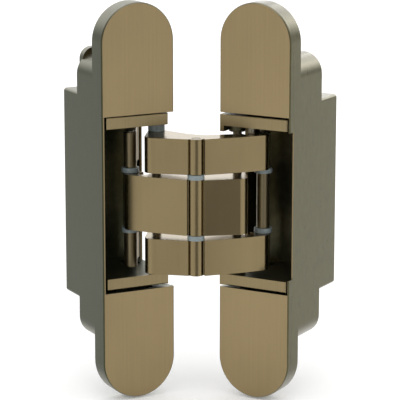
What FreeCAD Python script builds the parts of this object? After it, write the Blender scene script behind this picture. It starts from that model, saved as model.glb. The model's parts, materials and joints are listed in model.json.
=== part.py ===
import FreeCAD, Part
import math
import os
import Sketcher

# Concealed door hinge: two housings let into the door and the frame, joined by
# a pair of crossing arms with links, and carriages that give the adjustment.
# Millimetres. The left housing's face lies in the XZ plane and looks to -Y,
# +X points to the other leaf and +Z is up.

V = FreeCAD.Vector
doc = FreeCAD.newDocument("concealed_hinge")
sheet = doc.addObject("Spreadsheet::Sheet", "Sizes")
SIZES = {
    # housings
    "leaf_width": 28.0,  # width of each leaf
    "leaf_height": 142.8,  # height of each leaf
    "plate_thick": 7.8,  # face plate
    "face_chamfer": 0.4,  # bright edge round the face
    "middle_past": 4.9,  # middle step past the end of the trough
    "middle_corner": 7.5,  # corner radius of the middle step
    "middle_deep_left": 21.0,  # depth of the left middle step
    "middle_more": 3.5,  # right middle step deeper by this
    "deep_corner": 1.2,  # corner radius of the deep step
    "end_wall_left": 5.6,  # left deep step past the cavity
    "end_wall_right": 3.0,  # right deep step past the cavity
    "depth_left": 32.6,  # full depth of the left housing
    "depth_more": 4.0,  # right housing deeper by this
    "outer_wall": 0.85,  # thin wall on the outer side
    "inner_wall_left": 0.85,  # left wall on the inner side
    "inner_wall_right": 1.3,  # right wall on the inner side
    "back_wall": 1.6,  # back wall of the cavity
    "strip_left": 8.5,  # left inner wall left standing at the back
    "strip_right": 17.6,  # right inner wall left standing at the back
    "pad_thick": 2.0,  # cast pad behind the left middle step
    "pad_inset": 2.0,  # pad from the sides of the leaf
    "pad_past": 1.9,  # pad above the middle step
    "pad_corner": 4.3,  # corner radius of the pad
    # cover caps and what is under them
    "cap_long": 39.6,  # height of each cover cap
    "cap_thick": 2.2,  # cover cap
    "cap_past": 0.4,  # cavity behind the edge of each cap
    "clip_thick": 1.4,  # cap clip
    "clip_wide": 4.0,  # height of a cap clip
    "clip_long": 2.6,  # depth of a cap clip
    "clip_inset": 5.0,  # cap clips from the sides of the leaf
    "clip_past": 2.5,  # cap clips past the end of the trough
    "clip_fit": 0.1,  # play round a cap clip
    "screw_hole": 2.3,  # radius of a fixing hole
    "screw_sink": 1.7,  # depth of its countersink
    "trough_half": 7.5,  # half width of the trough under the caps
    "trough_long": 14.8,  # trough past the cavity
    "trough_left": 9.0,  # depth of the left trough
    "trough_right": 11.0,  # depth of the right trough
    "lock_out": 7.3,  # clamp and depth screws past the cavity
    # carriages
    "block_thick": 4.05,  # height of each carriage block
    "back_room": 1.6,  # room behind the carriages
    "spine_thick": 2.0,  # back wall of the carriages
    "slide_fit": 0.15,  # play beside a carriage at the end of its travel
    "end_play": 0.5,  # play above a carriage at the end of its travel
    "tab_play": 0.8,  # play beside a tab at the end of its travel
    "tab_thick": 2.0,  # thickness of the carriage tabs
    "block_edge": 0.35,  # broken edge of the blocks
    "cheek_thick": 1.5,  # cheek of the right carriage beside the near pin
    "cheek_deep": 12.0,  # depth of the cheek
    "side_out": 1.2,  # side adjustment to the inner side
    "side_back": 0.3,  # side adjustment to the outer side
    "height_down": 1.1,  # height adjustment down from the setting shown
    "height_up": 0.2,  # height adjustment up
    "depth_travel": 0.8,  # depth adjustment of the right leaf
    # linkage
    "edge_gap": 8.1,  # inner face edge to the middle plane
    "near_in": 4.2,  # near pivot from the inner edge
    "near_deep": 5.46,  # near pivot behind the face
    "deep_in": 13.57,  # deep pivot from the inner edge, as shown
    "deep_deep": 7.7,  # deep pivot behind the face, as shown
    "cross_front": 12.45,  # crossing pivot in front of the edge line
    "link_long": 13.4,  # link, pivot to pivot
    "arm_clear": 2.5,  # room between the outer arms and the blocks
    "washer_thick": 1.8,  # room for a washer between two arms
    "knuckle_radius": 2.6,  # crossing knuckle
    "near_barrel": 3.0,  # arm round the near pivot
    "deep_barrel": 2.6,  # arm round the deep pivot
    "elbow_out": 4.0,  # elbow outside the near pivot
    "elbow_round": 3.5,  # radius of the elbow
    "web_thick": 2.7,  # arm in front of the passing pin
    "eye_radius": 2.35,  # link eye
    "link_width": 3.8,  # link bar
    # pins, washers and fits
    "near_pin": 1.6,  # near pin radius
    "cross_pin": 1.5,  # crossing pin radius
    "deep_pin": 1.3,  # deep pin radius
    "link_pin": 1.2,  # link pin radius
    "stop_pin": 1.6,  # stop pin radius
    "stop_in": 10.8,  # stop pin from the inner edge
    "stop_deep": 3.6,  # stop pin behind the face
    "pin_edge": 0.2,  # broken edge of a pin end
    "pin_stand": 0.5,  # left deep pin past the links
    "running_fit": 0.05,  # radial play of a turning joint
    "face_play": 0.05,  # play between a washer and its neighbours
    "pass_play": 0.4,  # play of what swings past
    "pin_bury": 2.6,  # pin ends held in the blocks
    "cross_washer": 3.0,  # washer radius at the crossing
    "deep_washer": 3.2,  # washer radius at the deep pivots
    "near_washer": 3.0,  # washer and boss radius at the near pivots
    "seat_wide": 5.9,  # link pin seat across
    "seat_long": 7.4,  # link pin seat in depth
    "seat_aside": 0.72,  # seat to the outer side of the link pin shown
    "seat_behind": 1.17,  # seat behind the link pin shown
    # clamps and screws
    "clamp_thick": 1.8,  # clamp plate
    "clamp_fit": 0.5,  # clamp plate past the cavity at the end of its travel
    "guide_fit": 0.1,  # play beside a clamp plate
    "slot_play": 0.2,  # play at the ends of the clamp plate slot
    "head_radius": 3.4,  # clamp screw head
    "head_high": 2.2,  # clamp screw head height
    "shank_radius": 2.0,  # clamp screw shank
    "shank_long": 7.0,  # shank below the trough floor
    "bolt_radius": 2.5,  # depth screw radius
    "journal_radius": 2.0,  # depth screw foot radius
    "journal_long": 5.0,  # depth screw foot length
    "bolt_sunk": 4.0,  # depth screw end behind the face
    "socket_radius": 1.25,  # hexagon socket, across corners half
    "socket_deep": 1.3,  # hexagon socket depth
    "overrun": 1.0,  # cuts and joins run past a face by this
}
TURNS_AND_SHARES = {
    "leaf_turn": 28.47,  # each leaf from the open flat line
    "link_lean": 28.5,  # link from straight back, as shown
    "middle_share": 0.4405,  # middle arm, of the height of the arms
    "first_share": 0.28,  # nearer fixing hole, between trough and leaf end
    "last_share": 0.74,  # further fixing hole, between trough and leaf end
}
FOLLOWING = {
    # what follows from the sizes above
    "cap_from": "leaf_height / 2 - cap_long",
    "cavity_half": "cap_from + cap_past",
    "trough_end": "cavity_half + trough_long",
    "lock_high": "cavity_half + lock_out",
    "hole_room": "leaf_height / 2 - trough_end",
    "clip_high": "trough_end + clip_past + clip_wide / 2",
    "clip_side": "leaf_width / 2 - clip_inset",
    "middle_half": "trough_end + middle_past",
    "middle_deep_right": "middle_deep_left + middle_more",
    "deep_half_left": "cavity_half + end_wall_left",
    "deep_half_right": "cavity_half + end_wall_right",
    "depth_right": "depth_left + depth_more",
    "block_deep": "depth_left - back_wall - back_room",
    "block_half": "cavity_half - (height_down + height_up) / 2 - end_play",
    "height_set": "(height_down - height_up) / 2",
    "block_inside": "block_half - block_thick",
    "left_block_in": "inner_wall_left + side_out + slide_fit",
    "left_block_out": "leaf_width - outer_wall - side_back - slide_fit",
    "right_block_in": "inner_wall_right + 2 * slide_fit",
    "right_block_out": "leaf_width - outer_wall - 2 * slide_fit",
    "tab_half": "trough_half - side_out - tab_play",
    "tab_end": "trough_end - height_down - tab_play",
    "arm_top": "block_inside - arm_clear",
    "middle_arm": "(arm_top - washer_thick) * middle_share",
    "arm_step": "middle_arm + washer_thick",
    "clamp_slot": "shank_radius + slide_fit",
    "seat_in": "deep_in - link_long * sin(link_lean) + seat_aside",
    "seat_deep": "deep_deep + link_long * cos(link_lean) + seat_behind",
}
cells = []
for table in (SIZES, TURNS_AND_SHARES, FOLLOWING):
    for name, entry in table.items():
        cells.append(name)
        sheet.set("A%d" % len(cells), name)
        sheet.set("B%d" % len(cells), "=" + entry if table is FOLLOWING else str(entry))
        sheet.setAlias("B%d" % len(cells), name)
    doc.recompute()

def value(text):
    """The number that a sheet expression gives now."""
    return float(sheet.evalExpression(text))


def S(text):
    """Short form: names of sizes in braces become sheet references."""
    return text.replace("{", "Sizes.").replace("}", "")


def body_of(label):
    body = doc.addObject("PartDesign::Body", label)
    body.Label = label
    return body


def origin_plane(body, role):
    for feature in body.Origin.OriginFeatures:
        if feature.Role == role:
            return feature
    raise ValueError(role)


# A sketch on XY sees X and Y and is lifted along +Z. A sketch on XZ sees X and
# Z and is set back along +Y.
def sketch_on(body, name, plane, lift):
    sketch = body.newObject("Sketcher::SketchObject", name)
    sketch.AttachmentSupport = [(origin_plane(body, plane), "")]
    sketch.MapMode = "FlatFace"
    sign = "" if plane == "XY_Plane" else "-1 * "
    sketch.setExpression("AttachmentOffset.Base.z", S("%s(%s)" % (sign, lift)))
    return sketch


def tie(sketch, kind, args, text, count):
    index = sketch.addConstraint(Sketcher.Constraint(kind, *args, value(S(text))))
    label = "%s_%d" % (kind.lower(), count)
    sketch.renameConstraint(index, label)
    sketch.setExpression("Constraints." + label, S(text))


def draw_polygon(sketch, corners):
    first = sketch.GeometryCount
    points = [V(value(S(a)), value(S(b)), 0) for a, b in corners]
    total = len(points)
    for i in range(total):
        sketch.addGeometry(Part.LineSegment(points[i], points[(i + 1) % total]), False)
    for i in range(total):
        pair = (first + i, 2, first + (i + 1) % total, 1)
        sketch.addConstraint(Sketcher.Constraint("Coincident", *pair))
    for i, (a, b) in enumerate(corners):
        tie(sketch, "DistanceX", (-1, 1, first + i, 1), a, first + i)
        tie(sketch, "DistanceY", (-1, 1, first + i, 1), b, first + i)


def draw_box(sketch, a, b, half_a, half_b):
    """Rectangle round the point a, b."""
    low_a, high_a = "%s - %s" % (a, half_a), "%s + %s" % (a, half_a)
    low_b, high_b = "%s - %s" % (b, half_b), "%s + %s" % (b, half_b)
    draw_polygon(sketch, [(low_a, low_b), (high_a, low_b), (high_a, high_b), (low_a, high_b)])


def draw_circle(sketch, a, b, radius):
    first = sketch.GeometryCount
    centre = V(value(S(a)), value(S(b)), 0)
    sketch.addGeometry(Part.Circle(centre, V(0, 0, 1), value(S(radius))), False)
    tie(sketch, "DistanceX", (-1, 1, first, 3), a, first)
    tie(sketch, "DistanceY", (-1, 1, first, 3), b, first)
    tie(sketch, "Radius", (first,), radius, first)


def draw_rounded(sketch, a, b, half_a, half_b, radius):
    """Rectangle with rounded corners round the point a, b."""
    first = sketch.GeometryCount
    ca, cb = value(S(a)), value(S(b))
    ha, hb, r = value(S(half_a)), value(S(half_b)), value(S(radius))
    turns = [(1, 1), (-1, 1), (-1, -1), (1, -1)]
    for k, (i, j) in enumerate(turns):
        centre = V(ca + i * (ha - r), cb + j * (hb - r), 0)
        start = k * math.pi / 2
        circle = Part.Circle(centre, V(0, 0, 1), r)
        sketch.addGeometry(Part.ArcOfCircle(circle, start, start + math.pi / 2), False)
    ends = [(V(ca + ha - r, cb + hb, 0), V(ca - ha + r, cb + hb, 0)),
            (V(ca - ha, cb + hb - r, 0), V(ca - ha, cb - hb + r, 0)),
            (V(ca - ha + r, cb - hb, 0), V(ca + ha - r, cb - hb, 0)),
            (V(ca + ha, cb - hb + r, 0), V(ca + ha, cb + hb - r, 0))]
    for p, q in ends:
        sketch.addGeometry(Part.LineSegment(p, q), False)
    for k in range(4):
        arc, line, after = first + k, first + 4 + k, first + (k + 1) % 4
        sketch.addConstraint(Sketcher.Constraint("Tangent", arc, 2, line, 1))
        sketch.addConstraint(Sketcher.Constraint("Tangent", line, 2, after, 1))
    for k, (i, j) in enumerate(turns):
        across = "%s + %d * (%s - (%s))" % (a, i, half_a, radius)
        along = "%s + %d * (%s - (%s))" % (b, j, half_b, radius)
        tie(sketch, "DistanceX", (-1, 1, first + k, 3), across, first + k)
        tie(sketch, "DistanceY", (-1, 1, first + k, 3), along, first + k)
        tie(sketch, "Radius", (first + k,), radius, first + k)


def draw_obround(sketch, a, half_straight, radius, b="0"):
    """Upright slot shape round the point a, b."""
    first = sketch.GeometryCount
    ca, cb, hs, r = value(S(a)), value(S(b)), value(S(half_straight)), value(S(radius))
    top = Part.Circle(V(ca, cb + hs, 0), V(0, 0, 1), r)
    low = Part.Circle(V(ca, cb - hs, 0), V(0, 0, 1), r)
    sketch.addGeometry(Part.ArcOfCircle(top, 0, math.pi), False)
    sketch.addGeometry(Part.LineSegment(V(ca - r, cb + hs, 0), V(ca - r, cb - hs, 0)), False)
    sketch.addGeometry(Part.ArcOfCircle(low, math.pi, 2 * math.pi), False)
    sketch.addGeometry(Part.LineSegment(V(ca + r, cb - hs, 0), V(ca + r, cb + hs, 0)), False)
    for k in range(4):
        pair = (first + k, 2, first + (k + 1) % 4, 1)
        sketch.addConstraint(Sketcher.Constraint("Tangent", *pair))
    for k, sign in ((0, "+"), (2, "-")):
        tie(sketch, "DistanceX", (-1, 1, first + k, 3), a, first + k)
        tie(sketch, "DistanceY", (-1, 1, first + k, 3), "%s %s (%s)" % (b, sign, half_straight), first + k)
        tie(sketch, "Radius", (first + k,), radius, first + k)


def grow(body, sketch, length, name, back=False):
    """Adds the sketch's shape: up from XY, or back into +Y from XZ."""
    before = body.Shape.Volume if body.Tip else 0.0
    pad = body.newObject("PartDesign::Pad", name)
    pad.Profile = sketch
    pad.Reversed = back
    pad.setExpression("Length", S(length))
    doc.recompute()
    if body.Shape.Volume <= before:
        raise ValueError("%s adds nothing" % name)
    return pad


def cut(body, sketch, length, name, back=False):
    """Takes the sketch's shape away, in the same directions as grow."""
    before = body.Shape.Volume
    pocket = body.newObject("PartDesign::Pocket", name)
    pocket.Profile = sketch
    pocket.Reversed = not back
    pocket.setExpression("Length", S(length))
    doc.recompute()
    if body.Shape.Volume >= before - 1e-6:
        raise ValueError("%s cuts nothing" % name)
    return pocket


def edges_where(feature, test):
    names = []
    for i, edge in enumerate(feature.Shape.Edges):
        if test(edge):
            names.append("Edge%d" % (i + 1))
    return names


def soften(body, base, names, amount, label, kind="PartDesign::Chamfer"):
    feature = body.newObject(kind, label)
    feature.Base = (base, names)
    word = "Size" if kind == "PartDesign::Chamfer" else "Radius"
    feature.setExpression(word, S(amount))
    doc.recompute()
    return feature


def near(a, b):
    return abs(a - b) < 1e-4


# The sign is +1 for the left leaf, whose inner side is at +X, and -1 for the right.
def inward(sign, distance):
    """X of a point at this distance from the leaf's inner edge."""
    return "%d * ({leaf_width} / 2 - (%s))" % (sign, distance)


def draw_clips(sketch, ends, play):
    """Outlines of the two cap clips of each end, wider all round by the play."""
    for up in ends:
        for turn in ("", "-1 * "):
            draw_box(sketch, turn + "{clip_side}", up + "{clip_high}",
                     "({clip_thick} / 2 + %s)" % play, "({clip_wide} / 2 + %s)" % play)


def housing(label, hand, sign):
    inner = "{inner_wall_%s}" % hand
    depth = "{depth_%s}" % hand
    trough = "{trough_%s}" % hand
    body = body_of(label)
    sketch = sketch_on(body, "PlateOutline", "XZ_Plane", "0")
    draw_obround(sketch, "0", "({leaf_height} - {leaf_width}) / 2", "{leaf_width} / 2")
    plate = grow(body, sketch, "{plate_thick}", "Plate", True)
    front = edges_where(plate, lambda e: near(e.BoundBox.YMax, 0))
    soften(body, plate, front, "{face_chamfer}", "FaceEdge")
    sketch = sketch_on(body, "MiddleOutline", "XZ_Plane", "{cap_thick}")
    draw_rounded(sketch, "0", "0", "{leaf_width} / 2", "{middle_half}", "{middle_corner}")
    grow(body, sketch, "{middle_deep_%s} - {cap_thick}" % hand, "Middle", True)
    sketch = sketch_on(body, "DeepOutline", "XZ_Plane", "{cap_thick}")
    deep = "{deep_half_%s}" % hand
    draw_rounded(sketch, "0", "0", "{leaf_width} / 2", deep, "{deep_corner}")
    grow(body, sketch, depth + " - {cap_thick}", "Deep", True)
    if hand == "left":
        sketch = sketch_on(body, "PadOutline", "XZ_Plane", "{middle_deep_left} - {overrun}")
        top = "({middle_half} + {pad_past})"
        low = "({deep_half_left} - {overrun})"
        wide = "{leaf_width} / 2 - {pad_inset}"
        draw_rounded(sketch, "0", "(%s + %s) / 2" % (top, low), wide, "(%s - %s) / 2" % (top, low), "{pad_corner}")
        grow(body, sketch, "{pad_thick} + {overrun}", "BackPad", True)

    # the ends of the plate are let in for the cover caps
    sketch = sketch_on(body, "CapSeats", "XZ_Plane", "0")
    far = "{leaf_height} / 2 + {overrun}"
    side = "{leaf_width} / 2 + {overrun}"
    for up in ("", "-1 * "):
        corners = [("-(%s)" % side, up + "{cap_from}"), (side, up + "{cap_from}"),
                   (side, up + "(%s)" % far), ("-(%s)" % side, up + "(%s)" % far)]
        draw_polygon(sketch, corners)
    cut(body, sketch, "{cap_thick}", "CapSeat", True)

    # cavity for the carriage, with the way out for the arms on the inner side
    sketch = sketch_on(body, "CavityOutline", "XZ_Plane", "0")
    near_x = inward(sign, inner)
    far_x = inward(sign, "{leaf_width} - {outer_wall}")
    corners = [(near_x, "-{cavity_half}"), (far_x, "-{cavity_half}"),
               (far_x, "{cavity_half}"), (near_x, "{cavity_half}")]
    draw_polygon(sketch, corners)
    cut(body, sketch, depth + " - {back_wall}", "Cavity", True)
    sketch = sketch_on(body, "WindowOutline", "XZ_Plane", "0")
    near_x = inward(sign, "-1 * {overrun}")
    far_x = inward(sign, inner + " + {overrun}")
    corners = [(near_x, "-{cavity_half}"), (far_x, "-{cavity_half}"),
               (far_x, "{cavity_half}"), (near_x, "{cavity_half}")]
    draw_polygon(sketch, corners)
    cut(body, sketch, depth + " - {strip_%s}" % hand, "Window", True)

    # troughs under the caps
    sketch = sketch_on(body, "TroughOutline", "XZ_Plane", "0")
    for up in ("", "-1 * "):
        corners = [("-{trough_half}", up + "({cavity_half} - {overrun})"),
                   ("{trough_half}", up + "({cavity_half} - {overrun})"),
                   ("{trough_half}", up + "{trough_end}"),
                   ("-{trough_half}", up + "{trough_end}")]
        draw_polygon(sketch, corners)
    cut(body, sketch, trough, "Trough", True)
    sketch = sketch_on(body, "ScrewSeats", "XZ_Plane", trough)
    for up in ("", "-1 * "):
        bore = "{shank_radius}" if hand == "left" else "{journal_radius} + {running_fit}"
        draw_circle(sketch, "0", up + "{lock_high}", bore)
    long = "{shank_long}" if hand == "left" else "{journal_long} + {running_fit}"
    cut(body, sketch, long, "ScrewSeat", True)

    # countersunk fixing holes and the slots for the cap clips
    sketch = sketch_on(body, "FixingHoles", "XZ_Plane", "{cap_thick}")
    for up in ("", "-1 * "):
        draw_circle(sketch, "0", up + "({trough_end} + {hole_room} * {first_share})", "{screw_hole}")
        draw_circle(sketch, "0", up + "({trough_end} + {hole_room} * {last_share})", "{screw_hole}")
    holes = cut(body, sketch, "{plate_thick}", "FixingHole", True)
    r = value("Sizes.screw_hole")
    level = value("Sizes.cap_thick")

    def rim(edge):
        box = edge.BoundBox
        flat = near(box.YMin, level) and near(box.YMax, level)
        return flat and near(box.XMax, r) and near(box.ZLength, 2 * r)
    soften(body, holes, edges_where(holes, rim), "{screw_sink}", "Countersink")
    sketch = sketch_on(body, "ClipSlots", "XZ_Plane", "{cap_thick}")
    draw_clips(sketch, ("", "-1 * "), "{clip_fit}")
    cut(body, sketch, "{clip_long} + {clip_fit}", "ClipSlot", True)
    return body


def cover_cap(label):
    body = body_of(label)
    sketch = sketch_on(body, "CapOutline", "XZ_Plane", "0")
    draw_obround(sketch, "0", "({leaf_height} - {leaf_width}) / 2", "{leaf_width} / 2")
    whole = grow(body, sketch, "{cap_thick}", "Cap", True)
    front = edges_where(whole, lambda e: near(e.BoundBox.YMax, 0))
    soften(body, whole, front, "{face_chamfer}", "CapEdge")
    sketch = sketch_on(body, "OtherEnd", "XZ_Plane", "-1 * {overrun}")
    side = "{leaf_width} / 2 + {overrun}"
    far = "-({leaf_height} / 2 + {overrun})"
    corners = [("-(%s)" % side, far), (side, far), (side, "{cap_from}"), ("-(%s)" % side, "{cap_from}")]
    draw_polygon(sketch, corners)
    cut(body, sketch, "{cap_thick} + 2 * {overrun}", "CapEnd", True)
    sketch = sketch_on(body, "ClipOutline", "XZ_Plane", "{cap_thick}")
    draw_clips(sketch, ("",), "0")
    grow(body, sketch, "{clip_long}", "Clips", True)
    return body


def add_cheeks(body, sign):
    """Inner ends of the right blocks, flush with the leaf, with a cheek and the near bosses."""
    flush = inward(sign, "{slide_fit}")
    inner = inward(sign, "{right_block_in} + {overrun}")
    cheek = inward(sign, "{slide_fit} + {cheek_thick}")
    for up, name in (("", "Upper"), ("-1 * ", "Lower")):
        sketch = sketch_on(body, name + "Cheek", "XZ_Plane", "0")
        draw_polygon(sketch, [(flush, up + "{block_half}"), (inner, up + "{block_half}"),
                              (inner, up + "{block_inside}"), (cheek, up + "{block_inside}"),
                              (cheek, up + "({arm_top} + {pass_play})"), (flush, up + "({arm_top} + {pass_play})")])
        grow(body, sketch, "{cheek_deep}", name + "Cheek", True)
        low = "{arm_top} + {face_play}" if up == "" else "-1 * {block_inside} - {overrun}"
        sketch = sketch_on(body, name + "Boss", "XY_Plane", low)
        draw_circle(sketch, inward(sign, "{near_in}"), "{near_deep}", "{near_washer}")
        grow(body, sketch, "{arm_clear} - {face_play} + {overrun}", name + "Boss")


def carriage(label, hand, sign):
    low = inward(sign, "{%s_block_in}" % hand)
    high = inward(sign, "{%s_block_out}" % hand)
    body = body_of(label)
    sketch = sketch_on(body, "BlockOutline", "XZ_Plane", "0")
    corners = [(low, "-{block_half}"), (high, "-{block_half}"), (high, "{block_half}"), (low, "{block_half}")]
    draw_polygon(sketch, corners)
    block = grow(body, sketch, "{block_deep}", "Block", True)
    front = edges_where(block, lambda e: near(e.BoundBox.YMax, 0))
    soften(body, block, front, "{block_edge}", "BlockEdge")
    sketch = sketch_on(body, "ArmRoom", "XZ_Plane", "-1 * {overrun}")
    inside = "{block_inside}"
    wide_low = inward(sign, "-1 * {overrun}")
    wide_high = inward(sign, "{leaf_width} + {overrun}")
    corners = [(wide_low, "-(%s)" % inside), (wide_high, "-(%s)" % inside),
               (wide_high, inside), (wide_low, inside)]
    draw_polygon(sketch, corners)
    cut(body, sketch, "{block_deep} - {spine_thick} + {overrun}", "ArmRoom", True)
    if hand == "right":
        add_cheeks(body, sign)
    # tabs that reach under the caps
    trough = "{trough_%s}" % hand
    start = trough + " - {tab_thick}"
    if hand == "right":
        start += " - {depth_travel} - {slot_play}"
    sketch = sketch_on(body, "TabOutline", "XZ_Plane", start)
    for up in ("", "-1 * "):
        corners = [("-{tab_half}", up + "({block_half} - {overrun})"), ("{tab_half}", up + "({block_half} - {overrun})"),
                   ("{tab_half}", up + "{tab_end}"), ("-{tab_half}", up + "{tab_end}")]
        draw_polygon(sketch, corners)
    grow(body, sketch, "{tab_thick}", "Tabs", True)
    sketch = sketch_on(body, "TabHoles", "XZ_Plane", start)
    for up in ("", "-1 * "):
        if hand == "left":
            reach = "{shank_radius} + {side_out} + {height_down} / 2"
            draw_circle(sketch, "0", up + "{lock_high} - {height_set}", reach)
        else:
            draw_circle(sketch, "0", up + "{lock_high}", "{bolt_radius} + {running_fit}")
    cut(body, sketch, "{tab_thick}", "TabHole", True)
    # seats of the near pin and of the link pin, in both blocks
    for up, name in (("", "Upper"), ("-1 * ", "Lower")):
        boss = "{arm_clear}" if hand == "right" else "0"
        level = "{block_inside} - " + boss if up == "" else "-1 * {block_inside} - {pin_bury}"
        sketch = sketch_on(body, name + "PinSeat", "XY_Plane", level)
        draw_circle(sketch, inward(sign, "{near_in}"), "{near_deep}", "{near_pin}")
        if hand == "right" and up == "":
            draw_circle(sketch, inward(sign, "{stop_in}"), "{stop_deep}", "{stop_pin}")
        cut(body, sketch, "{pin_bury} + " + boss, name + "PinSeat")
        level = inside if up == "" else "-1 * {block_inside} - {pin_bury}"
        sketch = sketch_on(body, name + "Seats", "XY_Plane", level)
        across = inward(sign, "{seat_in}")
        draw_box(sketch, across, "{seat_deep}", "{seat_wide} / 2", "{seat_long} / 2")
        cut(body, sketch, "{pin_bury}", name + "Seat")
    return body


NEAR_X = "({edge_gap} + {near_in} * cos({leaf_turn}) + {near_deep} * sin({leaf_turn}))"
NEAR_Y = "({near_deep} * cos({leaf_turn}) - {near_in} * sin({leaf_turn}))"
DEEP_X = "({edge_gap} + {deep_in} * cos({leaf_turn}) + {deep_deep} * sin({leaf_turn}))"
DEEP_Y = "({deep_deep} * cos({leaf_turn}) - {deep_in} * sin({leaf_turn}))"
CROSS_Y = "(-1 * {cross_front})"


def arm(label, sign, low, high):
    """One arm, drawn as it stands in the photograph's pose round the middle plane.

    With sign +1 the near pivot is on the left and the deep pivot on the right.
    """
    body = body_of(label)
    mirror = "%d * " % sign
    tall = "(%s) - (%s)" % (high, low)
    nx, ny, dx, dy = NEAR_X, NEAR_Y, DEEP_X, DEEP_Y
    corners = [
        ("-1 * (%s + {near_barrel})" % nx, ny),
        ("-1 * (%s + {elbow_out})" % nx, CROSS_Y + " + {knuckle_radius} * 0.46"),
        ("-1.04 * {knuckle_radius}", CROSS_Y + " - {knuckle_radius} * 0.7"),
        ("-0.86 * {knuckle_radius}", CROSS_Y + " - {knuckle_radius} * 0.42"),
        ("{knuckle_radius} * 0.9", CROSS_Y + " - {knuckle_radius} * 0.2"),
        ("{knuckle_radius} * 1.13", CROSS_Y + " - {knuckle_radius} * 0.2"),
        ("{knuckle_radius} * 1.2", CROSS_Y + " - {knuckle_radius} * 0.68"),
        ("%s * 0.64" % dx, CROSS_Y + " + {web_thick}"),
        ("%s + {deep_barrel} * 0.62" % dx, "%s - 2 * {deep_barrel}" % dy),
        ("%s + {deep_barrel}" % dx, dy),
        ("%s - {deep_barrel} * 0.42" % dx, "%s + {deep_barrel} * 0.9" % dy),
        ("%s * 0.62" % dx, CROSS_Y + " + {deep_barrel} * 3.6"),
        ("{knuckle_radius} * 1.2", CROSS_Y + " + {knuckle_radius} * 2.6"),
        ("-1 * {knuckle_radius}", CROSS_Y + " + {knuckle_radius} * 3.4"),
        ("-1 * (%s - {near_barrel} * 0.9)" % nx, "%s + {near_barrel} * 0.4" % ny),
    ]
    sketch = sketch_on(body, "ArmOutline", "XY_Plane", low)
    draw_polygon(sketch, [(mirror + "(" + a + ")", b) for a, b in corners])
    pad = grow(body, sketch, tall, "Arm")

    def upright_at(a, b):
        x, y = value(S(mirror + "(" + a + ")")), value(S(b))
        return lambda e: near(e.BoundBox.XLength, 0) and near(e.BoundBox.YLength, 0) \
            and near(e.BoundBox.XMin, x) and near(e.BoundBox.YMin, y)
    pad = soften(body, pad, edges_where(pad, upright_at(*corners[1])), "{elbow_round}", "Elbow", "PartDesign::Fillet")
    for index, radius, name in ((8, "{deep_barrel}", "Tail"), (13, "{elbow_round}", "Crook")):
        pad = soften(body, pad, edges_where(pad, upright_at(*corners[index])), radius, name, "PartDesign::Fillet")
    sketch = sketch_on(body, "BarrelOutline", "XY_Plane", low)
    draw_circle(sketch, mirror + "-1 * " + nx, ny, "{near_barrel}")
    grow(body, sketch, tall, "NearBarrel")
    sketch = sketch_on(body, "KnuckleOutline", "XY_Plane", low)
    draw_circle(sketch, "0", CROSS_Y, "{knuckle_radius}")
    grow(body, sketch, tall, "Knuckle")
    sketch = sketch_on(body, "TailOutline", "XY_Plane", low)
    draw_circle(sketch, mirror + dx, dy, "{deep_barrel}")
    grow(body, sketch, tall, "DeepBarrel")
    return body


def finish_arm(body, sign, low, high, cross_bore):
    """Way for the passing near pin, and the three bores."""
    mirror = "%d * " % sign
    tall = "(%s) - (%s)" % (high, low)
    # the passing pin runs round the crossing pivot at the near pivot's radius
    path = "sqrt(%s * %s + (%s - %s) * (%s - %s))" % (NEAR_X, NEAR_X, NEAR_Y, CROSS_Y, NEAR_Y, CROSS_Y)
    half = "({near_pin} + {pass_play})"
    lean = "(atan((%s - %s) / %s) - 2 / 3 * {leaf_turn} * 1 deg)" % (NEAR_Y, CROSS_Y, NEAR_X)
    px = "(%s * cos(%s))" % (path, lean)
    py = "(%s + %s * sin(%s))" % (CROSS_Y, path, lean)
    sketch = sketch_on(body, "PassingPin", "XY_Plane", low)
    draw_circle(sketch, mirror + px, py, half)
    cut(body, sketch, tall, "PassEnd")
    # ring sector behind it
    first = "(%s)" % lean
    corners = []
    for k in range(4):
        angle = "(%s + %g deg)" % (first, 20.0 * k)
        corners.append(("(%s - %s) * cos(%s)" % (path, half, angle), "%s + (%s - %s) * sin(%s)" % (CROSS_Y, path, half, angle)))
    for k in reversed(range(4)):
        angle = "(%s + %g deg)" % (first, 20.0 * k)
        corners.append(("(%s + %s) * cos(%s)" % (path, half, angle), "%s + (%s + %s) * sin(%s)" % (CROSS_Y, path, half, angle)))
    sketch = sketch_on(body, "PassingWay", "XY_Plane", low)
    draw_polygon(sketch, [(mirror + "(" + a + ")", b) for a, b in corners])
    cut(body, sketch, tall, "PassWay")
    sketch = sketch_on(body, "Bores", "XY_Plane", low)
    draw_circle(sketch, "0", CROSS_Y, cross_bore)
    draw_circle(sketch, mirror + "-1 * " + NEAR_X, NEAR_Y, "{near_pin} + {running_fit}")
    draw_circle(sketch, mirror + DEEP_X, DEEP_Y, "{deep_pin}")
    cut(body, sketch, tall, "Bore")
    return body


def rod(label, radius, low, high, broken=False):
    """Turned pin on the Z axis. The ends that show are broken."""
    body = body_of(label)
    sketch = sketch_on(body, "PinOutline", "XY_Plane", low)
    draw_circle(sketch, "0", "0", radius)
    pad = grow(body, sketch, "(%s) - (%s)" % (high, low), "Pin")
    if broken:
        rims = edges_where(pad, lambda e: near(e.BoundBox.ZLength, 0))
        soften(body, pad, rims, "{pin_edge}", "PinEdge")
    return body


def washer(label, radius, bore, low, high):
    body = body_of(label)
    sketch = sketch_on(body, "WasherOutline", "XY_Plane", low)
    draw_circle(sketch, "0", "0", radius)
    draw_circle(sketch, "0", "0", bore)
    grow(body, sketch, "(%s) - (%s)" % (high, low), "Washer")
    return body


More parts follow.
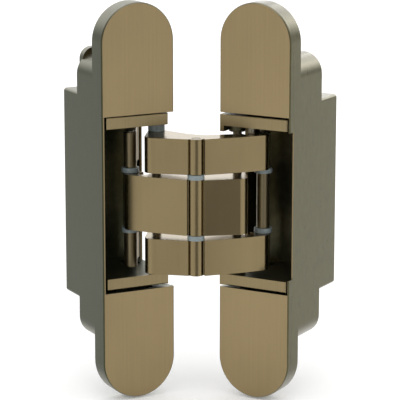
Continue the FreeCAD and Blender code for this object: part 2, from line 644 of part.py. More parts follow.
def link(label, sign, low, high, seat_bore):
    """Link from its eye at the origin straight back along +Y, before it is turned."""
    body = body_of(label)
    tall = "(%s) - (%s)" % (high, low)
    sketch = sketch_on(body, "LinkBar", "XY_Plane", low)
    corners = [("-{link_width} / 2", "0"), ("{link_width} / 2", "0"),
               ("{link_width} / 2", "{link_long}"), ("-{link_width} / 2", "{link_long}")]
    draw_polygon(sketch, corners)
    grow(body, sketch, tall, "Bar")
    for name, along in (("Eye", "0"), ("Foot", "{link_long}")):
        sketch = sketch_on(body, name + "Outline", "XY_Plane", low)
        draw_circle(sketch, "0", along, "{eye_radius}")
        grow(body, sketch, tall, name)
    sketch = sketch_on(body, "LinkBores", "XY_Plane", low)
    draw_circle(sketch, "0", "0", "{deep_pin} + {running_fit}")
    draw_circle(sketch, "0", "{link_long}", seat_bore)
    cut(body, sketch, tall, "LinkBore")
    return body


def clamp_plate(label):
    body = body_of(label)
    sketch = sketch_on(body, "ClampOutline", "XZ_Plane", "{trough_left} - {tab_thick} - {clamp_thick}")
    half = "({trough_half} - {guide_fit})"
    low = "({cavity_half} + {height_down} + {clamp_fit})"
    high = "({trough_end} - {height_down} - 2 * {slide_fit})"
    mid = "((%s + %s) / 2)" % (low, high)
    draw_box(sketch, "0", mid, half, "((%s - %s) / 2)" % (high, low))
    grow(body, sketch, "{clamp_thick}", "Clamp", True)
    sketch = sketch_on(body, "ClampSlot", "XZ_Plane", "{trough_left} - {tab_thick} - {clamp_thick}")
    draw_obround(sketch, "0", "{height_down} + {slot_play}", "{clamp_slot}", "{lock_high}")
    cut(body, sketch, "{clamp_thick}", "Slot", True)
    return body


def socket(body, start):
    sketch = sketch_on(body, "SocketOutline", "XZ_Plane", start)
    corners = []
    for k in range(6):
        corners.append(("{socket_radius} * cos(%d)" % (60 * k), "{socket_radius} * sin(%d)" % (60 * k)))
    draw_polygon(sketch, corners)
    cut(body, sketch, "{socket_deep}", "Socket", True)


def clamp_screw(label):
    body = body_of(label)
    under = "{trough_left} - {tab_thick} - {clamp_thick}"
    sketch = sketch_on(body, "HeadOutline", "XZ_Plane", under + " - {head_high}")
    draw_circle(sketch, "0", "0", "{head_radius}")
    grow(body, sketch, "{head_high}", "Head", True)
    sketch = sketch_on(body, "ShankOutline", "XZ_Plane", under)
    draw_circle(sketch, "0", "0", "{shank_radius}")
    grow(body, sketch, "{tab_thick} + {clamp_thick} + {shank_long}", "Shank", True)
    socket(body, under + " - {head_high}")
    return body


def depth_screw(label):
    body = body_of(label)
    sketch = sketch_on(body, "BoltOutline", "XZ_Plane", "{bolt_sunk}")
    draw_circle(sketch, "0", "0", "{bolt_radius}")
    grow(body, sketch, "{trough_right} - {bolt_sunk}", "Bolt", True)
    sketch = sketch_on(body, "FootOutline", "XZ_Plane", "{trough_right}")
    draw_circle(sketch, "0", "0", "{journal_radius}")
    grow(body, sketch, "{journal_long}", "Foot", True)
    socket(body, "{bolt_sunk}")
    return body


def frame_at(x, y, z, turn):
    return FreeCAD.Placement(V(x, y, z), FreeCAD.Rotation(V(0, 0, 1), turn))


# Frames of the two leaves and of the middle plane between them, in the part's frame.
half_wide = value("Sizes.leaf_width") / 2
gap = value("Sizes.edge_gap")
turn = value("Sizes.leaf_turn")
LEFT = frame_at(0, 0, 0, 0)
lean_x, lean_y = math.cos(math.radians(turn)), math.sin(math.radians(turn))
MIDDLE = frame_at(half_wide + gap * lean_x, -gap * lean_y, 0, -turn)
RIGHT = MIDDLE.multiply(frame_at(gap + half_wide * lean_x, -half_wide * lean_y, 0, -turn))
LIFT = frame_at(0, 0, value("Sizes.height_set"), 0)
FLIP = FreeCAD.Placement(V(0, 0, 0), FreeCAD.Rotation(V(0, 1, 0), 180))

nodes = {}


def keep(body, place):
    body.Placement = place
    nodes[body.Label] = body


keep(housing("left_housing", "left", 1), LEFT)
keep(housing("right_housing", "right", -1), RIGHT)
for hand, place in (("left", LEFT), ("right", RIGHT)):
    keep(cover_cap(hand + "_cap_upper"), place)
    keep(cover_cap(hand + "_cap_lower"), place.multiply(FLIP))
keep(carriage("left_carriage", "left", 1), LIFT)
keep(carriage("right_carriage", "right", -1), RIGHT)

# crossing arms: a forked pair of outer arms and one middle arm
play = "{face_play}"
outer, inner = "{arm_top}", "{arm_step}"
for label, low, high in (("outer_arm_upper", inner, outer), ("outer_arm_lower", "-1 * " + outer, "-1 * " + inner)):
    keep(finish_arm(arm(label, 1, low, high), 1, low, high, "{cross_pin}"), MIDDLE)
low, high = "-1 * {middle_arm}", "{middle_arm}"
body = arm("middle_arm", -1, low, high)
keep(finish_arm(body, -1, low, high, "{cross_pin} + {running_fit}"), MIDDLE)

# pins
near_x, near_y = value(S(NEAR_X)), value(S(NEAR_Y))
deep_x, deep_y = value(S(DEEP_X)), value(S(DEEP_Y))
cross_y = value(S(CROSS_Y))
seat = "({block_inside} + {pin_bury})"
lift = value("Sizes.height_set")
keep(rod("crossing_pin", "{cross_pin}", "-1 * {arm_top}", "{arm_top}", True), MIDDLE.multiply(frame_at(0, cross_y, 0, 0)))
keep(rod("left_near_pin", "{near_pin}", "-1 * " + seat, seat), MIDDLE.multiply(frame_at(-near_x, near_y, lift, 0)))
keep(rod("right_near_pin", "{near_pin}", "-1 * " + seat, seat), MIDDLE.multiply(frame_at(near_x, near_y, 0, 0)))
long = "({arm_top} + {pin_stand})"
keep(rod("left_deep_pin", "{deep_pin}", "-1 * " + long, long, True), MIDDLE.multiply(frame_at(-deep_x, deep_y, 0, 0)))
keep(rod("right_deep_pin", "{deep_pin}", "-1 * {arm_top}", "{arm_top}", True), MIDDLE.multiply(frame_at(deep_x, deep_y, 0, 0)))
stop = frame_at(value("Sizes.stop_in") - half_wide, value("Sizes.stop_deep"), 0, 0)
keep(rod("stop_pin", "{stop_pin}", "{arm_top} + 2 * {face_play}", seat), RIGHT.multiply(stop))

# links: two beside the middle arm on the left, one between the outer arms on the right
lean = value("Sizes.link_lean")
reach = value("Sizes.link_long")
left_eye = LEFT.multiply(frame_at(half_wide - value("Sizes.deep_in"), value("Sizes.deep_deep"), 0, -lean))
right_eye = RIGHT.multiply(frame_at(value("Sizes.deep_in") - half_wide, value("Sizes.deep_deep"), 0, lean))
keep(link("left_link_upper", 1, "{arm_step}", "{arm_top}", "{link_pin}"), left_eye)
keep(link("left_link_lower", 1, "-1 * {arm_top}", "-1 * {arm_step}", "{link_pin}"), left_eye)
keep(link("right_link", -1, "-1 * {middle_arm}", "{middle_arm}", "{link_pin}"), right_eye)
rest = "({block_inside} + {pin_bury} - {height_set} - {running_fit})"
keep(rod("left_link_pin", "{link_pin}", "-1 * " + rest, rest), left_eye.multiply(frame_at(0, reach, 0, 0)))
keep(rod("right_link_pin", "{link_pin}", "-1 * " + rest, rest), right_eye.multiply(frame_at(0, reach, 0, 0)))

# washers: between the arms, between arms and links, and beside the outer arms
for name, up in (("upper", 1), ("lower", -1)):
    def span(inner, outer):
        if up == 1:
            return "%s + %s" % (inner, play), "%s - %s" % (outer, play)
        return "-1 * (%s - %s)" % (outer, play), "-1 * (%s + %s)" % (inner, play)
    low, high = span("{middle_arm}", "{arm_step}")
    ring = washer("crossing_washer_" + name, "{cross_washer}", "{cross_pin} + {running_fit}", low, high)
    keep(ring, MIDDLE.multiply(frame_at(0, cross_y, 0, 0)))
    ring = washer("left_deep_washer_" + name, "{deep_washer}", "{deep_pin} + {running_fit}", low, high)
    keep(ring, MIDDLE.multiply(frame_at(-deep_x, deep_y, 0, 0)))
    ring = washer("right_deep_washer_" + name, "{deep_washer}", "{deep_pin} + {running_fit}", low, high)
    keep(ring, MIDDLE.multiply(frame_at(deep_x, deep_y, 0, 0)))
    sign = "+" if up == 1 else "-"
    low, high = span("{arm_top}", "({block_inside} %s {height_set})" % sign)
    ring = washer("left_near_washer_" + name, "{near_washer}", "{near_pin} + {running_fit}", low, high)
    keep(ring, MIDDLE.multiply(frame_at(-near_x, near_y, 0, 0)))

# clamp plates and screws of the left leaf, depth screws of the right leaf
lock = value("Sizes.lock_high")
for name, place in (("upper", LEFT), ("lower", FLIP)):
    keep(clamp_plate("clamp_plate_" + name), place)
    keep(clamp_screw("clamp_screw_" + name), place.multiply(frame_at(0, 0, lock, 0)))
for name, up in (("upper", 1), ("lower", -1)):
    keep(depth_screw("depth_screw_" + name), RIGHT.multiply(frame_at(0, 0, up * lock, 0)))

doc.recompute()
for item in doc.Objects:
    if "Invalid" in item.State or "Error" in item.State:
        raise ValueError("%s is not valid" % item.Label)
os.makedirs("parts", exist_ok=True)
for label in sorted(nodes):
    body = nodes[label]
    if body.Shape.isNull() or not body.Shape.isValid():
        raise ValueError("%s has no valid shape" % label)
    shape = body.Shape
    print("%-24s solids %d volume %9.2f" % (label, len(shape.Solids), shape.Volume))
    shape.exportStep("parts/%s.step" % label)
print("near pins (left)", MIDDLE.multVec(V(-near_x, near_y, 0)))
print("crossing", MIDDLE.multVec(V(0, cross_y, 0)))
print("near pin (right)", MIDDLE.multVec(V(near_x, near_y, 0)))
print("deep pins", MIDDLE.multVec(V(-deep_x, deep_y, 0)), MIDDLE.multVec(V(deep_x, deep_y, 0)))
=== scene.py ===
import bpy
import json
import math
from mathutils import Matrix, Vector


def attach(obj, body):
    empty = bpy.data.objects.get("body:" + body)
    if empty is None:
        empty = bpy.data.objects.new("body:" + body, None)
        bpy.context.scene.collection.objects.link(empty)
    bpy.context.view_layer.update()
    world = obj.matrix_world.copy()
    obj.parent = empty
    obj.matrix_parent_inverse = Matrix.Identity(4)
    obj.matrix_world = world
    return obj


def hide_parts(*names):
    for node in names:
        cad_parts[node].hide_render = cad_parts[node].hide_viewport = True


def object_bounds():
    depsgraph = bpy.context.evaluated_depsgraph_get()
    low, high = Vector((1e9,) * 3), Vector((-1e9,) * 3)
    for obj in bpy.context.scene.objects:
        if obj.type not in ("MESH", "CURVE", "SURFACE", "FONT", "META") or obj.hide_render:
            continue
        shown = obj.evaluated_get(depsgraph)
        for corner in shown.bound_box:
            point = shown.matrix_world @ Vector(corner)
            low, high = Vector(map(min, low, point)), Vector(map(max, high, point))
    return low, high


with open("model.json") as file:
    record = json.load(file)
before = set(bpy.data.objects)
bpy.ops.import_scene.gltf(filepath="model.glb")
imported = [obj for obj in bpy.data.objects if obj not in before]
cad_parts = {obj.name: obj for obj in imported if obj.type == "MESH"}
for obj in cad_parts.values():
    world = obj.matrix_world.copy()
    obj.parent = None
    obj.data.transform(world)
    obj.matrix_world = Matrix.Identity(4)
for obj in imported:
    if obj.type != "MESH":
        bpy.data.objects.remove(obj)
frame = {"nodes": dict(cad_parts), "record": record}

cad_box = [list(corner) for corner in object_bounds()]
MM = 0.001
LEAF_TURN = math.radians(28.47)  # each leaf from the middle plane
EDGE_GAP = 8.1 * MM  # inner edge of a leaf from the middle plane, along that plane's normal
HALF_WIDTH = 14.0 * MM
RIGHT_FACE = (35.88 * MM, -19.456 * MM, 0)  # middle of the right leaf's face

# depths and heights of the change from bronze to the dark painted shade of the hollow, measured from a leaf's
# face
HOLLOW_MIDDLE, HOLLOW_HALF, HOLLOW_HIGH, HOLLOW_FROM = 0.25 * MM, 12.75 * MM, 32.4 * MM, 0.6 * MM
HOLLOW_TO, HOLLOW_MORE = 31.8 * MM, 4.0 * MM  # within the left back wall; the right one lies deeper
BLOCK_FACE = 0.5 * MM
FACE_TURN = 0.85  # how squarely a surface looks forward to carry the bronze

BRUSHED = (1300, 1300, 22)
FACE_ROUGH = (0.26, 0.36)
FACE_GRAIN = 0.005 * MM
FINE_GRAIN = 0.006 * MM
MOULD_GRAIN = 0.01 * MM
# the same as-cast skin on both leaves, the left copy darker as painted shade
LEFT_SKIN_SHADED = (0.049, 0.053, 0.030), (0.063, 0.067, 0.040)
RIGHT_SKIN_LIT = (0.089, 0.082, 0.044), (0.110, 0.102, 0.055)
# pale painted sheen for surfaces that look up or down, standing in for reflected light
PAINTED_SHEEN_TONE = (0.42, 0.40, 0.33)
# dark painted shade inside the hollow, the left copy darker
LEFT_HOLLOW_SHADE = (0.075, 0.079, 0.048), (0.098, 0.102, 0.064)
RIGHT_HOLLOW_SHADE = (0.120, 0.118, 0.078), (0.150, 0.147, 0.098)
# dark painted shade on the carriage parts that lie deeper than the block faces, the left copy darker
LEFT_BLOCK_SHADE = (0.080, 0.084, 0.053), (0.110, 0.112, 0.072)
RIGHT_BLOCK_SHADE = (0.115, 0.113, 0.072), (0.150, 0.147, 0.095)


def from_middle(x, y, z):
    """Place on the middle plane between the leaves, in the part's frame."""
    c, s = math.cos(LEAF_TURN), math.sin(LEAF_TURN)
    left = HALF_WIDTH + EDGE_GAP * c
    return Vector((left + x * c + y * s, -EDGE_GAP * s - x * s + y * c, z))


# ---------------------------------------------------------------- finishes
def new_finish(name):
    """Empty material with its nodes and links."""
    finish = bpy.data.materials.new(name)
    finish.use_nodes = True
    return finish, finish.node_tree.nodes, finish.node_tree.links


def new_metal(name):
    """Metal with nothing on its colour, roughness and surface yet."""
    finish, nodes, links = new_finish(name)
    metal = nodes["Principled BSDF"]
    metal.inputs["Metallic"].default_value = 1.0
    place = nodes.new("ShaderNodeTexCoord")
    return finish, nodes, links, metal, place


def dress(links, shader, colour, rough, grain):
    """Puts colour, roughness and surface on a shader."""
    links.new(colour, shader.inputs["Base Color"])
    links.new(rough, shader.inputs["Roughness"])
    links.new(grain, shader.inputs["Normal"])


def reckon(nodes, links, kind, first, second):
    """One step of arithmetic on values or sockets."""
    step = nodes.new("ShaderNodeMath")
    step.operation = kind
    for slot, value in ((0, first), (1, second)):
        if isinstance(value, (int, float)):
            step.inputs[slot].default_value = value
        else:
            links.new(value, step.inputs[slot])
    return step.outputs["Value"]


def either(nodes, links, share, first, second, kind="RGBA"):
    """Colour, place or value that goes from the first to the second with the share."""
    mix = nodes.new("ShaderNodeMix")
    mix.data_type = kind
    slots = {"FLOAT": (2, 3, 0), "VECTOR": (4, 5, 1), "RGBA": (6, 7, 2)}[kind]
    links.new(share, mix.inputs[0])
    for slot, value in zip(slots, (first, second)):
        if isinstance(value, tuple):
            mix.inputs[slot].default_value = (*value, 1) if kind == "RGBA" else value
        elif isinstance(value, (int, float)):
            mix.inputs[slot].default_value = value
        else:
            links.new(value, mix.inputs[slot])
    return mix.outputs[slots[2]]


def noise(nodes, links, place, stretch, detail, rough=0.5):
    """Fine structure, drawn out along one or two directions."""
    scale = nodes.new("ShaderNodeMapping")
    scale.inputs["Scale"].default_value = stretch
    links.new(place, scale.inputs["Vector"])
    field = nodes.new("ShaderNodeTexNoise")
    field.inputs["Scale"].default_value = 1.0
    field.inputs["Detail"].default_value = detail
    field.inputs["Roughness"].default_value = rough
    links.new(scale.outputs["Vector"], field.inputs["Vector"])
    return field.outputs["Fac"]


def tones(nodes, links, share, dark, light, low=0.3, high=0.7):
    """Colour that goes from dark to light as the share goes from low to high."""
    ramp = nodes.new("ShaderNodeValToRGB")
    ramp.color_ramp.elements[0].position = low
    ramp.color_ramp.elements[0].color = (*dark, 1)
    ramp.color_ramp.elements[1].position = high
    ramp.color_ramp.elements[1].color = (*light, 1)
    links.new(share, ramp.inputs["Fac"])
    return ramp.outputs["Color"]


def spread(nodes, links, share, low, high, start=0.0, end=1.0):
    """Value that goes from low to high as the share goes from start to end."""
    scale = nodes.new("ShaderNodeMapRange")
    for socket, value in (("From Min", start), ("From Max", end), ("To Min", low), ("To Max", high)):
        scale.inputs[socket].default_value = value
    links.new(share, scale.inputs["Value"])
    return scale.outputs["Result"]


def grain_of(nodes, links, height, strength, depth):
    """Surface with small bumps of the given depth."""
    grain = nodes.new("ShaderNodeBump")
    grain.inputs["Strength"].default_value = strength
    grain.inputs["Distance"].default_value = depth
    links.new(height, grain.inputs["Height"])
    return grain.outputs["Normal"]


def leaf_place(nodes, links, place):
    """Which leaf a point is on, and its place and facing measured from that leaf's own face."""
    side = nodes.new("ShaderNodeVectorMath")
    side.operation = "DOT_PRODUCT"
    side.inputs[1].default_value = (math.cos(LEAF_TURN), -math.sin(LEAF_TURN), 0)
    links.new(place.outputs["Object"], side.inputs[0])
    middle = from_middle(0, 0, 0)
    reach = middle.x * math.cos(LEAF_TURN) - middle.y * math.sin(LEAF_TURN)
    on_right = reckon(nodes, links, "GREATER_THAN", side.outputs["Value"], reach)
    turned = nodes.new("ShaderNodeMapping")
    turned.vector_type = "TEXTURE"
    turned.inputs["Location"].default_value = RIGHT_FACE
    turned.inputs["Rotation"].default_value = (0, 0, -2 * LEAF_TURN)
    links.new(place.outputs["Object"], turned.inputs["Vector"])
    facing = nodes.new("ShaderNodeVectorRotate")
    facing.rotation_type = "Z_AXIS"
    facing.inputs["Angle"].default_value = 2 * LEAF_TURN
    links.new(place.outputs["Normal"], facing.inputs["Vector"])
    parts = []
    for socket, on_right_leaf in (("Object", turned), ("Normal", facing)):
        split = nodes.new("ShaderNodeSeparateXYZ")
        both = either(nodes, links, on_right, place.outputs[socket], on_right_leaf.outputs["Vector"], "VECTOR")
        links.new(both, split.inputs["Vector"])
        parts.append(split.outputs)
    return on_right, parts[0], parts[1]


def within(nodes, links, value, limit, middle=0.0):
    """1 where the value is nearer to the middle than the limit."""
    away = reckon(nodes, links, "ABSOLUTE", reckon(nodes, links, "SUBTRACT", value, middle), 0.0)
    return reckon(nodes, links, "LESS_THAN", away, limit)


def satin(nodes, links, place, dark, light, rough, depth):
    """Colour, roughness and surface of metal that was brushed along the height."""
    lines = noise(nodes, links, place, BRUSHED, 5.0, 0.6)
    clouds = noise(nodes, links, place, (70, 70, 45), 3.0)
    blend = reckon(nodes, links, "ADD", reckon(nodes, links, "MULTIPLY", lines, 0.6),
                   reckon(nodes, links, "MULTIPLY", clouds, 0.4))
    return (tones(nodes, links, blend, dark, light), spread(nodes, links, lines, *rough),
            grain_of(nodes, links, lines, 0.35, depth))


def leaf_shaded_tones(nodes, links, on_right, skin, left, right):
    """Mottled colour that differs between the leaves; the left leaf's copy is darker as painted shade."""
    return either(nodes, links, on_right, tones(nodes, links, skin, *left), tones(nodes, links, skin, *right))


def finish_metal(name, dark, light, rough):
    """Plated satin bronze, brushed along the height of the hinge."""
    finish, nodes, links, metal, place = new_metal(name)
    dress(links, metal, *satin(nodes, links, place.outputs["Object"], dark, light, rough, FINE_GRAIN))
    return finish


def leaf_finish(name, dark, light, hollow):
    """Bronze on the face, a greyer as-cast skin on the sides and back, darker on the left leaf as painted
    shade, a painted sheen where it looks up or down, and a dark painted shade inside the hollow.
    """
    finish, nodes, links, metal, place = new_metal(name)
    on_right, spot, look = leaf_place(nodes, links, place)
    face, face_rough, grain = satin(nodes, links, place.outputs["Object"], dark, light, FACE_ROUGH, FACE_GRAIN)
    skin = noise(nodes, links, place.outputs["Object"], (520, 520, 260), 5.0, 0.65)
    # the left leaf's sides are painted darker than the right's as painted shade
    side = leaf_shaded_tones(nodes, links, on_right, skin, LEFT_SKIN_SHADED, RIGHT_SKIN_LIT)
    # surfaces that look up or down get a painted sheen of the bright surroundings, those that look down the
    # most
    level = spread(nodes, links, reckon(nodes, links, "ABSOLUTE", look["Z"], 0.0), 0.0, 0.48, 0.2, 0.9)
    below = reckon(nodes, links, "MULTIPLY", reckon(nodes, links, "LESS_THAN", look["Z"], 0.0), 0.7)
    painted_sheen = reckon(nodes, links, "MULTIPLY", level, reckon(nodes, links, "ADD", below, 1.0))
    side = either(nodes, links, painted_sheen, side, PAINTED_SHEEN_TONE)
    ahead = reckon(nodes, links, "MULTIPLY", look["Y"], -1.0)
    front = reckon(nodes, links, "GREATER_THAN", ahead, FACE_TURN)
    colour = either(nodes, links, front, side, face)
    cast_rough = either(nodes, links, on_right, spread(nodes, links, skin, 0.36, 0.46),
                        spread(nodes, links, skin, 0.24, 0.34), "FLOAT")
    rough = either(nodes, links, front, cast_rough, face_rough, "FLOAT")
    # dark painted shade inside the hollow, where shade falls
    if hollow:
        inside = reckon(nodes, links, "MULTIPLY",
                        within(nodes, links, spot["X"], HOLLOW_HALF, HOLLOW_MIDDLE),
                        within(nodes, links, spot["Z"], HOLLOW_HIGH))
        behind = reckon(nodes, links, "GREATER_THAN", spot["Y"], HOLLOW_FROM)
        deeper = reckon(nodes, links, "MULTIPLY", on_right, HOLLOW_MORE)
        back = reckon(nodes, links, "ADD", deeper, HOLLOW_TO)
        before = reckon(nodes, links, "LESS_THAN", spot["Y"], back)
        inside = reckon(nodes, links, "MULTIPLY", inside, behind)
        inside = reckon(nodes, links, "MULTIPLY", inside, before)
        painted_shade = leaf_shaded_tones(nodes, links, on_right, skin, LEFT_HOLLOW_SHADE, RIGHT_HOLLOW_SHADE)
        colour = either(nodes, links, inside, colour, painted_shade)
        rough = either(nodes, links, inside, rough, 0.48, "FLOAT")
    dress(links, metal, colour, rough, grain)
    return finish


def carriage_finish(name):
    """Bronze on the front of the blocks, a dark painted shade on what lies deeper between them, darker on the
    left leaf.
    """
    finish, nodes, links, metal, place = new_metal(name)
    on_right, spot, look = leaf_place(nodes, links, place)
    face, rough, grain = satin(nodes, links, place.outputs["Object"], (0.228, 0.180, 0.096),
                               (0.276, 0.217, 0.116), FACE_ROUGH, FACE_GRAIN)
    deep = reckon(nodes, links, "GREATER_THAN", spot["Y"], BLOCK_FACE)
    skin = noise(nodes, links, place.outputs["Object"], (420, 420, 420), 4.0, 0.6)
    # dark painted shade on what lies deeper between the blocks
    painted_shade = leaf_shaded_tones(nodes, links, on_right, skin, LEFT_BLOCK_SHADE, RIGHT_BLOCK_SHADE)
    dress(links, metal, either(nodes, links, deep, face, painted_shade),
          either(nodes, links, deep, rough, 0.40, "FLOAT"), grain)
    return finish


def ground_steel(name, tint, rough):
    """Plain metal with the fine rings of turning."""
    finish, nodes, links, metal, place = new_metal(name)
    rings = noise(nodes, links, place.outputs["Object"], (60, 60, 2600), 3.0)
    dull = tuple(part * 0.86 for part in tint)
    dress(links, metal, tones(nodes, links, rings, dull, tint),
          spread(nodes, links, rings, rough - 0.05, rough + 0.05),
          grain_of(nodes, links, rings, 0.3, FINE_GRAIN))
    return finish


def bearing_plastic(name, dark, light):
    """Blue-grey washer plastic with a dull moulded skin."""
    finish, nodes, links = new_finish(name)
    place = nodes.new("ShaderNodeTexCoord")
    mottle = noise(nodes, links, place.outputs["Object"], (900, 900, 900), 4.0)
    dress(links, nodes["Principled BSDF"], tones(nodes, links, mottle, dark, light),
          spread(nodes, links, mottle, 0.32, 0.46), grain_of(nodes, links, mottle, 0.25, MOULD_GRAIN))
    return finish


FINISH = {
    "cap": leaf_finish("cap_bronze", (0.278, 0.212, 0.112), (0.316, 0.242, 0.128), False),
    "housing": leaf_finish("housing_bronze", (0.228, 0.178, 0.098), (0.262, 0.204, 0.112), True),
    "carriage": carriage_finish("carriage_bronze"),
    "arm": finish_metal("arm_bronze", (0.221, 0.171, 0.090), (0.253, 0.197, 0.104), (0.21, 0.28)),
    "link": finish_metal("link_bronze", (0.203, 0.166, 0.099), (0.244, 0.199, 0.118), (0.36, 0.44)),
    "pin": ground_steel("pin_steel", (0.32, 0.29, 0.225), 0.40),
    "clamp": ground_steel("plate_steel", (0.45, 0.45, 0.44), 0.40),
    "screw": ground_steel("screw_steel", (0.42, 0.42, 0.42), 0.32),
    "washer": bearing_plastic("washer_blue", (0.19, 0.23, 0.24), (0.25, 0.29, 0.29)),
}
BODIES = frame["record"]["behaviour"]["bodies"]
BODY = {member: body for body, members in BODIES.items() for member in members}
SLOT = {row["node"]: row["material_slot"] for row in frame["record"]["subparts"]}


# ---------------------------------------------------------------- pieces
EASE = {"housing": 0.12 * MM, "cap": 0.10 * MM, "carriage": 0.10 * MM, "arm": 0.18 * MM, "link": 0.2 * MM,
        "pin": 0.10 * MM, "washer": 0.08 * MM, "clamp": 0.12 * MM, "screw": 0.12 * MM}
SHARP_EDGE = math.radians(28)
SMOOTH_EDGE = math.radians(32)
# small reliefs, in mm from the leaf's face: across, depth, height
CUTS = {
    "right_housing": [((13.0, -0.5, -26.5), (14.5, 3.0, 26.5)),
                      ((13.05, -0.5, -32.15), (13.55, 20.0, 32.15))],
    "left_housing": [((12.9, 20.0, -32.15), (14.5, 26.3, 32.15))],
    "left_carriage": [((-14.0, -0.5, -33.0), (-12.3, 12.0, 33.0))],
}


def deselect():
    bpy.ops.object.select_all(action="DESELECT")


def pick(piece):
    """Makes the piece the only one selected."""
    deselect()
    bpy.context.view_layer.objects.active = piece
    piece.select_set(True)


def notch(piece, low, high, turn=0.0, base=(0, 0, 0)):
    """Cuts a box out of the piece; its corners are measured from the leaf's face."""
    deselect()
    size = [(b - a) * MM for a, b in zip(low, high)]
    middle = Vector([(a + b) / 2 * MM for a, b in zip(low, high)])
    centre = Matrix.Rotation(turn, 3, "Z") @ middle + Vector(base)
    bpy.ops.mesh.primitive_cube_add(size=1.0, location=centre, rotation=(0, 0, turn), scale=size)
    cutter = bpy.context.active_object
    bpy.ops.object.transform_apply(location=True, rotation=True, scale=True)
    pick(piece)
    cut = piece.modifiers.new("Notch", "BOOLEAN")
    cut.operation = "DIFFERENCE"
    cut.solver = "EXACT"
    cut.object = cutter
    bpy.ops.object.modifier_apply(modifier="Notch")
    bpy.data.objects.remove(cutter)


def eased(node):
    """The node's own form with its sharp edges eased, as tumbled castings have them."""
    slot = SLOT[node]
    piece = bpy.data.objects.new(node + "_eased", frame["nodes"][node].data.copy())
    bpy.context.scene.collection.objects.link(piece)
    pick(piece)
    bpy.ops.object.mode_set(mode="EDIT")
    bpy.ops.mesh.select_all(action="SELECT")
    bpy.ops.mesh.remove_doubles(threshold=0.001 * MM)
    bpy.ops.mesh.dissolve_limited(angle_limit=math.radians(0.4))
    bpy.ops.object.mode_set(mode="OBJECT")
    for low, high in CUTS.get(node, ()):
        if node.startswith("right"):
            notch(piece, low, high, -2 * LEAF_TURN, RIGHT_FACE)
        else:
            notch(piece, low, high)
    ease = piece.modifiers.new("Ease", "BEVEL")
    ease.width = EASE[slot]
    ease.segments = 2
    ease.limit_method = "ANGLE"
    ease.angle_limit = SHARP_EDGE
    ease.harden_normals = False
    bpy.ops.object.modifier_apply(modifier="Ease")
    bpy.ops.object.shade_smooth_by_angle(angle=SMOOTH_EDGE)
    flats = piece.modifiers.new("Flats", "WEIGHTED_NORMAL")
    flats.mode = "FACE_AREA"
    flats.weight = 90
    flats.keep_sharp = True
    bpy.ops.object.modifier_apply(modifier="Flats")
    piece.data.materials.clear()
    piece.data.materials.append(FINISH[slot])
    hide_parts(node)
    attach(piece, BODY[node])
    deselect()


deselect()
for node, obj in frame["nodes"].items():
    obj.data.materials.clear()
    obj.data.materials.append(FINISH[SLOT[node]])
for node in sorted(frame["nodes"]):
    eased(node)

# ---------------------------------------------------------------- camera
AZ, EL, DIST = math.radians(1.25), math.radians(12.31), 755.3 * MM
PICTURE, SENSOR = 400, 36.0  # width in pixels and in mm
LENS_PIXELS = 2116.9
MIDDLE_PIXELS = (196.74, 199.6)
flat = math.cos(EL) * DIST
eye = from_middle(math.sin(AZ) * flat, -math.cos(AZ) * flat, math.sin(EL) * DIST)
aim = from_middle(0, 0, 0)
camera_data = bpy.data.cameras.new("camera")
camera = bpy.data.objects.new("camera", camera_data)
bpy.context.scene.collection.objects.link(camera)
camera.location = eye
camera.rotation_euler = (aim - eye).to_track_quat("-Z", "Y").to_euler()
camera_data.sensor_width = SENSOR
camera_data.lens = LENS_PIXELS / PICTURE * SENSOR
camera_data.shift_x = (PICTURE / 2 - MIDDLE_PIXELS[0]) / PICTURE
camera_data.shift_y = -(PICTURE / 2 - MIDDLE_PIXELS[1]) / PICTURE
camera_data.clip_start = 0.01
camera_data.clip_end = 20
bpy.context.scene.camera = camera

# ---------------------------------------------------------------- floor and light
floor_level = cad_box[0][2] - 0.6 * MM
deselect()
bpy.ops.mesh.primitive_plane_add(size=6.0, location=(0.02, 0, floor_level))
floor = bpy.context.active_object
floor.name = "studio_floor"
bpy.ops.object.transform_apply(location=True, rotation=True, scale=True)
paper, nodes, links = new_finish("floor_paper")
sheet = nodes["Principled BSDF"]
sheet.inputs["Base Color"].default_value = (0.93, 0.93, 0.93, 1)
sheet.inputs["Roughness"].default_value = 0.9
sheet.inputs["Specular IOR Level"].default_value = 0.1
sheet.inputs["Emission Color"].default_value = (1, 1, 1, 1)
rays = nodes.new("ShaderNodeLightPath")
seen = reckon(nodes, links, "MAXIMUM", rays.outputs["Is Camera Ray"], rays.outputs["Is Glossy Ray"])
links.new(reckon(nodes, links, "MULTIPLY", seen, 0.12), sheet.inputs["Emission Strength"])
floor.data.materials.append(paper)

world = bpy.data.worlds.new("studio")
bpy.context.scene.world = world
world.use_nodes = True
nodes, links = world.node_tree.nodes, world.node_tree.links
backdrop = nodes["Background"]
rays = nodes.new("ShaderNodeLightPath")
place = nodes.new("ShaderNodeTexCoord")
split = nodes.new("ShaderNodeSeparateXYZ")
links.new(place.outputs["Generated"], split.inputs["Vector"])
shade = tones(nodes, links, split.outputs["Z"], (0.86, 0.86, 0.86), (0.90, 0.90, 0.90), 0.0, 0.6)
backdrop_tone = either(nodes, links, rays.outputs["Is Camera Ray"], shade, (1.0, 1.0, 1.0))
links.new(backdrop_tone, backdrop.inputs["Color"])
backdrop.inputs["Strength"].default_value = 1.0


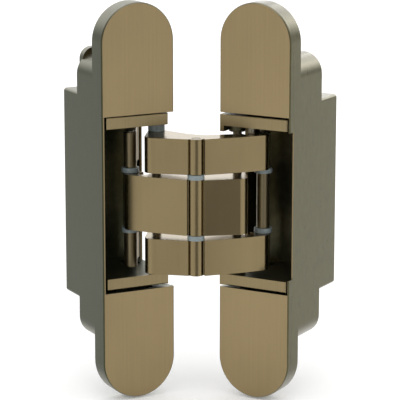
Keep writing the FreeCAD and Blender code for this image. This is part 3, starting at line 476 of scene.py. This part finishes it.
def softbox(name, x, y, z, size, power):
    """Area lamp that looks at the crossing, placed in the middle plane's frame."""
    lamp = bpy.data.lights.new(name, "AREA")
    lamp.shape = "RECTANGLE"
    lamp.size, lamp.size_y = size
    lamp.energy = power
    obj = bpy.data.objects.new(name, lamp)
    bpy.context.scene.collection.objects.link(obj)
    obj.location = from_middle(x, y, z)
    obj.rotation_euler = (aim - obj.location).to_track_quat("-Z", "Y").to_euler()


softbox("top_softbox", 0.0, -0.15, 0.75, (0.7, 0.7), 1.4)
softbox("back_softbox", 0.10, 2.0, 0.48, (1.1, 0.62), 2.2)
softbox("back_right_softbox", 0.87, 1.34, 0.52, (1.2, 0.6), 5.8)
softbox("back_left_softbox", -0.87, 1.34, 0.52, (1.2, 0.6), 3.6)


def grey_card(name, near, far, left, right, height, tone):
    """Card that lies before the hinge and stands up at its far end; only the metal sees it."""
    deselect()
    bpy.ops.mesh.primitive_plane_add(size=1.0)
    card = bpy.context.active_object
    card.name = name
    bpy.ops.object.mode_set(mode="EDIT")
    bpy.ops.mesh.select_all(action="DESELECT")
    bpy.ops.mesh.select_mode(type="EDGE")
    bpy.ops.object.mode_set(mode="OBJECT")
    level = floor_level + 1.0 * MM / tone ** 0.5  # the darker card lies on top
    corners = ((near, left), (near, right), (far, left), (far, right))
    for corner, (reach, turn) in zip(card.data.vertices, corners):
        corner.select = reach == far
        turn = math.radians(turn)
        corner.co = from_middle(math.sin(turn) * reach, -math.cos(turn) * reach, level)
    for edge in card.data.edges:
        edge.select = all(card.data.vertices[end].select for end in edge.vertices)
    bpy.ops.object.mode_set(mode="EDIT")
    bpy.ops.mesh.extrude_region_move(TRANSFORM_OT_translate={"value": (0, 0, height)})
    bpy.ops.object.mode_set(mode="OBJECT")
    card.visible_camera = False
    card.visible_shadow = False
    card.visible_diffuse = False
    cloth, nodes, links = new_finish(name + "_cloth")
    nodes["Principled BSDF"].inputs["Base Color"].default_value = (tone, tone, tone, 1)
    nodes["Principled BSDF"].inputs["Roughness"].default_value = 1.0
    card.data.materials.append(cloth)


grey_card("dark_card", 0.09, 0.32, -9, 32, 0.17, 0.30)
grey_card("light_card", 0.09, 0.46, -34, 45, 0.19, 0.88)

scene = bpy.context.scene
scene.view_settings.view_transform = "Standard"
